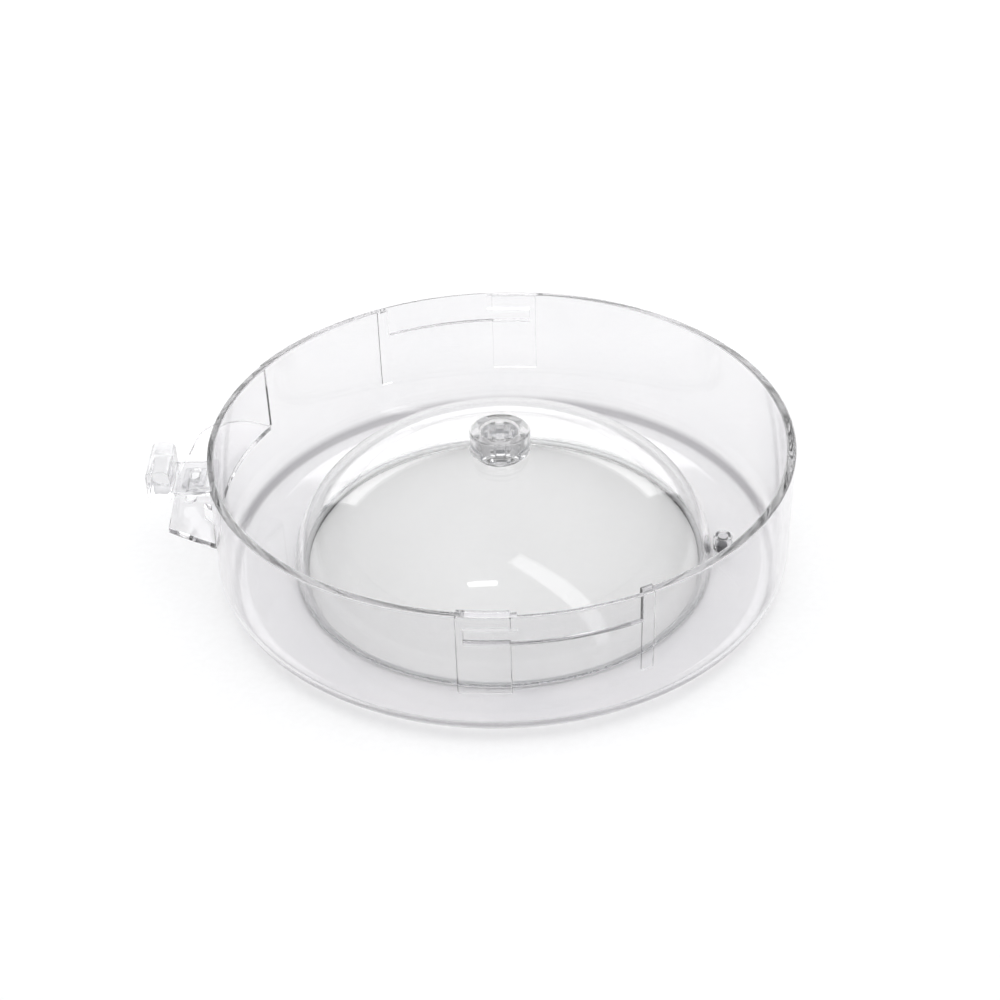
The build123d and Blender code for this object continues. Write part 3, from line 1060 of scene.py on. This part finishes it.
class TRAY_OT_plug(bpy.types.Operator):
    """Build the soft stopper in the drain stud"""

    bl_idname = "tray.plug"
    bl_label = "Drain Plug"

    def execute(self, context):
        finish = context.scene.plastic_finish
        shank = 1.58 * MM
        head = PLUG_HIGH[0] - DRAIN_X
        section = rounded_outline(
            [
                (0, PLUG_LOW[2], 0),
                (head, PLUG_LOW[2], 0.25 * MM),
                (head, 0.8 * MM, 0.2 * MM),
                (shank, 0.8 * MM, 0.1 * MM),
                (shank, PLUG_HIGH[2], 0.4 * MM),
                (0, PLUG_HIGH[2], 0),
            ]
        )
        deep = dimmed(finish.rubber_tint, 0.75)
        rubber = moulded_soft("grey_rubber", finish.rubber_tint, deep, 0.6, 2200)
        finished(turned("plug_moulding", section, 48, (DRAIN_X, DRAIN_Y)), "drain_plug", rubber)
        return {"FINISHED"}


class TRAY_OT_stage(bpy.types.Operator):
    """Lay the pale floor and set up the camera and the studio light"""

    bl_idname = "tray.stage"
    bl_label = "Stage"

    def execute(self, context):
        setup = context.scene.studio_setup
        self.add_floor(setup)
        self.add_camera(context, setup)
        self.add_world(context, setup)
        self.add_light("backdrop", (0, 1.3, 0.40), (2.4, 0.8), setup.backdrop)
        self.add_light("strip", (0.70, -0.64, 0.86), (0.20, 2.4), setup.strip)
        self.add_light("spark", (-0.18, -0.385, 1.12), (0.24, 0.06), setup.spark, twist=25)
        cycles = context.scene.cycles
        cycles.max_bounces = 40
        cycles.transmission_bounces = 32
        cycles.glossy_bounces = 32
        cycles.transparent_max_bounces = 32
        context.scene.view_settings.view_transform = "Standard"
        return {"FINISHED"}

    def add_floor(self, setup):
        reach, low = 4.0, -0.1 * MM
        mesh = bpy.data.meshes.new("floor")
        corners = [(-reach, -reach, low), (reach, -reach, low), (reach, reach, low), (-reach, reach, low)]
        mesh.from_pydata(corners, [], [(0, 1, 2, 3)])
        mesh.materials.append(studio_floor("pale_paper", setup.floor_tint))
        new_piece("floor", mesh)

    def add_camera(self, context, setup):
        camera = bpy.data.cameras.new("camera")
        camera.sensor_width = 36
        camera.lens = setup.lens
        camera.shift_x = setup.shift_x
        camera.shift_y = setup.shift_y
        camera.clip_start = 0.01
        holder = bpy.data.objects.new("camera", camera)
        context.scene.collection.objects.link(holder)
        place = Vector((0, -cos(setup.elevation), sin(setup.elevation))) * setup.distance
        aim = (-place).to_track_quat("-Z", "Y").to_matrix().to_4x4()
        holder.matrix_world = Matrix.Translation(place) @ aim @ Matrix.Rotation(setup.roll, 4, "Z")
        context.scene.camera = holder

    def add_world(self, context, setup):
        world = bpy.data.worlds.new("studio")
        context.scene.world = world
        finish = Finish(world)
        heading = finish.node("ShaderNodeTexCoord", output="Generated")
        upward = finish.along("Z", heading)
        overhead = finish.between(upward, -0.1, 1.0) ** 1.5
        strength = setup.horizon + (setup.overhead - setup.horizon) * overhead
        sockets = {"Color": colour(SKY_TINT), "Strength": strength}
        sky = finish.node("ShaderNodeBackground", None, sockets)
        sockets = {"Color": colour(WALL_TINT), "Strength": 1.0}
        wall = finish.node("ShaderNodeBackground", None, sockets)
        seen = finish.node("ShaderNodeLightPath", output="Is Camera Ray")
        surroundings = finish.node("ShaderNodeMixShader", None, {0: seen, 1: sky, 2: wall})
        finish.node("ShaderNodeOutputWorld", None, {"Surface": surroundings})

    def add_light(self, name, place, size, power, target=(0, 0, 0.02), twist=0):
        light = bpy.data.lights.new(name, "AREA")
        light.shape = "RECTANGLE"
        light.size, light.size_y = size
        light.energy = power
        holder = bpy.data.objects.new(name, light)
        bpy.context.scene.collection.objects.link(holder)
        aim = (Vector(target) - Vector(place)).to_track_quat("-Z", "Y").to_matrix().to_4x4()
        holder.matrix_world = Matrix.Translation(place) @ aim @ Matrix.Rotation(radians(twist), 4, "Z")
        holder.visible_camera = False


class TRAY_PT_panel(bpy.types.Panel):
    """Lists the steps that build the tray"""

    bl_label = "Humidity Dome Tray"
    bl_idname = "TRAY_PT_panel"
    bl_space_type = "VIEW_3D"
    bl_region_type = "UI"
    bl_category = "Tray"

    def draw(self, context):
        column = self.layout.column()
        for operator in OPERATORS:
            column.operator(operator.bl_idname)
        for name in SETTINGS:
            group = getattr(context.scene, name)
            box = self.layout.box()
            for key in group.__annotations__:
                box.prop(group, key)


SETTINGS = {
    "tray_shape": TrayShape,
    "dome_shape": DomeShape,
    "plastic_finish": PlasticFinish,
    "studio_setup": StudioSetup,
}
OPERATORS = (
    TRAY_OT_stage,
    TRAY_OT_shell,
    TRAY_OT_dome,
    TRAY_OT_seal,
    TRAY_OT_vent,
    TRAY_OT_latch,
    TRAY_OT_plug,
)


def register():
    for group in (*SETTINGS.values(), *OPERATORS, TRAY_PT_panel):
        bpy.utils.register_class(group)
    for name, group in SETTINGS.items():
        setattr(bpy.types.Scene, name, PointerProperty(type=group))


def unregister():
    for name in SETTINGS:
        delattr(bpy.types.Scene, name)
    for group in (TRAY_PT_panel, *reversed(OPERATORS), *SETTINGS.values()):
        bpy.utils.unregister_class(group)


def main():
    register()
    bpy.ops.tray.stage()
    bpy.ops.tray.shell()
    bpy.ops.tray.dome()
    bpy.ops.tray.seal()
    bpy.ops.tray.vent()
    bpy.ops.tray.latch()
    bpy.ops.tray.plug()


if __name__ == "__main__":
    main()
